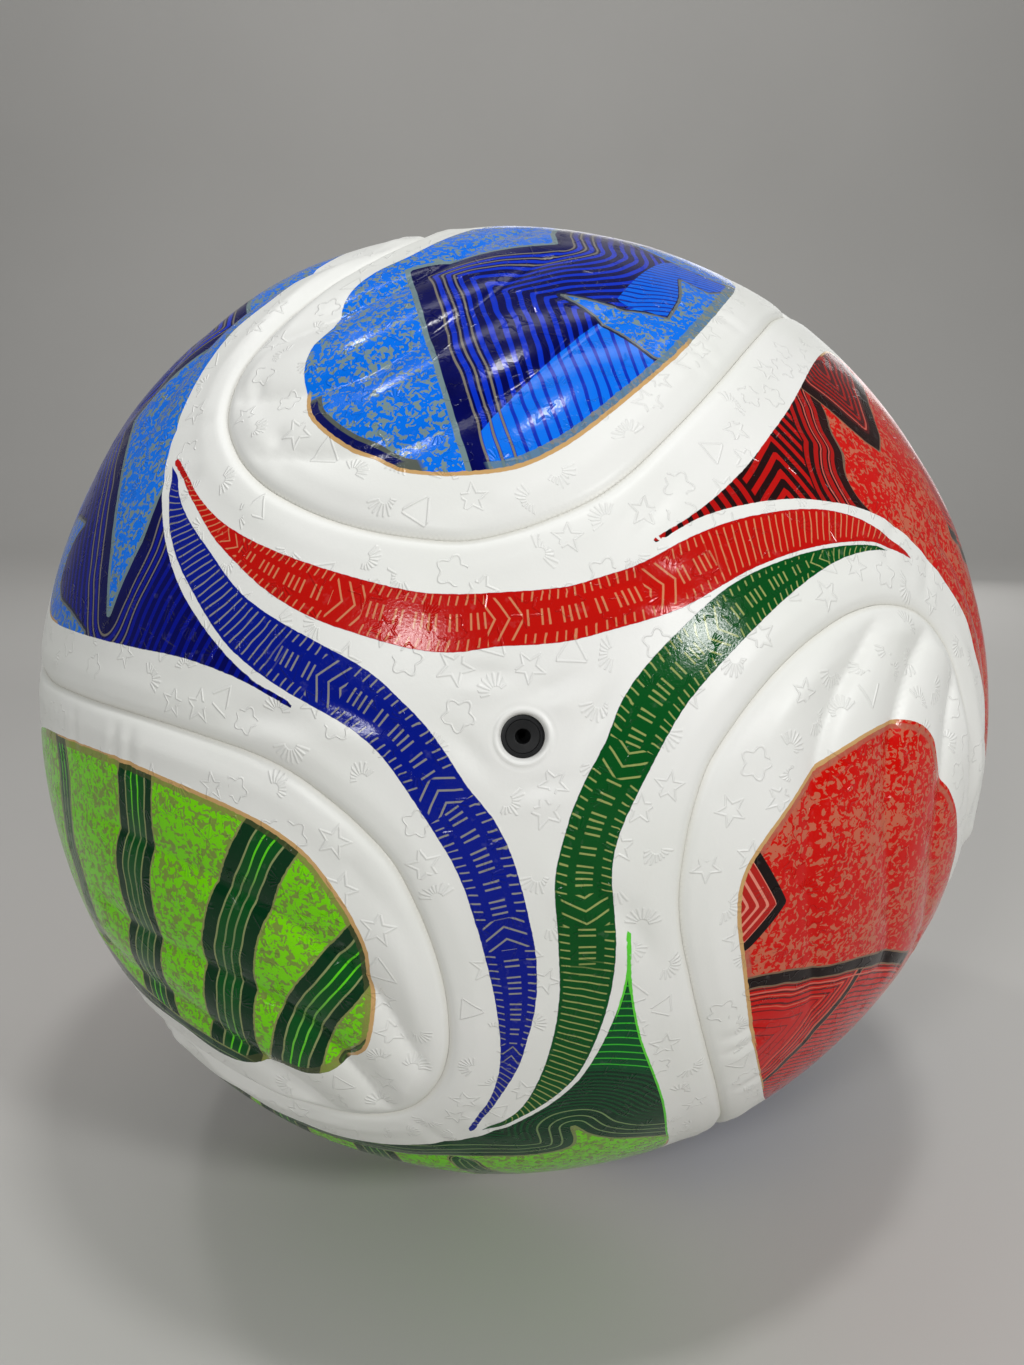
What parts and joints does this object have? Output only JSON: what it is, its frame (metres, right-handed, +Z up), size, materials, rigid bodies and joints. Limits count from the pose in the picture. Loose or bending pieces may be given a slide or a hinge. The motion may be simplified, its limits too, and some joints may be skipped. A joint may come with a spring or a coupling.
{
  "type": "soccer ball",
  "caption": "Full-size soccer ball with large three-armed panels, a white skin with printed red, blue and green bands, and a needle valve.",
  "frame": {"origin": "centre of the ball", "axes": "+Z up, -Y towards the valve, which tilts up about eleven degrees; +X to the right of someone facing the valve"},
  "size_m": [0.2198, 0.22, 0.2196],
  "materials": {
    "skin_front": "satin white printed polyurethane",
    "skin_top": "satin white printed polyurethane",
    "skin_left": "satin white printed polyurethane",
    "skin_right": "satin white printed polyurethane",
    "foam": "closed-cell foam, matt",
    "seam_adhesive": "set adhesive, satin",
    "carcass_fabric": "plain woven polyester and cotton",
    "bladder_rubber": "butyl, matt",
    "patch_rubber": "butyl, matt",
    "valve_rubber": "moulded rubber, satin",
    "valve_core_rubber": "soft rubber, satin"
  },
  "bodies": {
    "ball": {"skin_front": "skin_front", "skin_top": "skin_top", "skin_left": "skin_left", "skin_right": "skin_right", "foam_front": "foam", "foam_top": "foam", "foam_left": "foam", "foam_right": "foam", "seam_bead_front_top": "seam_adhesive", "seam_bead_front_left": "seam_adhesive", "seam_bead_front_right": "seam_adhesive", "seam_bead_top_left": "seam_adhesive", "seam_bead_top_right": "seam_adhesive", "seam_bead_left_right": "seam_adhesive", "carcass_patch_01": "carcass_fabric", "carcass_patch_02": "carcass_fabric", "carcass_patch_03": "carcass_fabric", "carcass_patch_04": "carcass_fabric", "carcass_patch_05": "carcass_fabric", "carcass_patch_06": "carcass_fabric", "carcass_patch_07": "carcass_fabric", "carcass_patch_08": "carcass_fabric", "carcass_patch_09": "carcass_fabric", "carcass_patch_10": "carcass_fabric", "carcass_patch_11": "carcass_fabric", "carcass_patch_12": "carcass_fabric", "bladder": "bladder_rubber", "valve_patch": "patch_rubber", "balance_patch": "patch_rubber", "valve_housing": "valve_rubber"},
    "valve_core": {"valve_core": "valve_core_rubber"}
  },
  "joints": [
    {"name": "valve_core_pull", "type": "slide", "parent": "ball", "child": "valve_core", "axis": [0.0155, -0.9823, 0.1867], "range_m": [0, 0.024]}
  ]
}
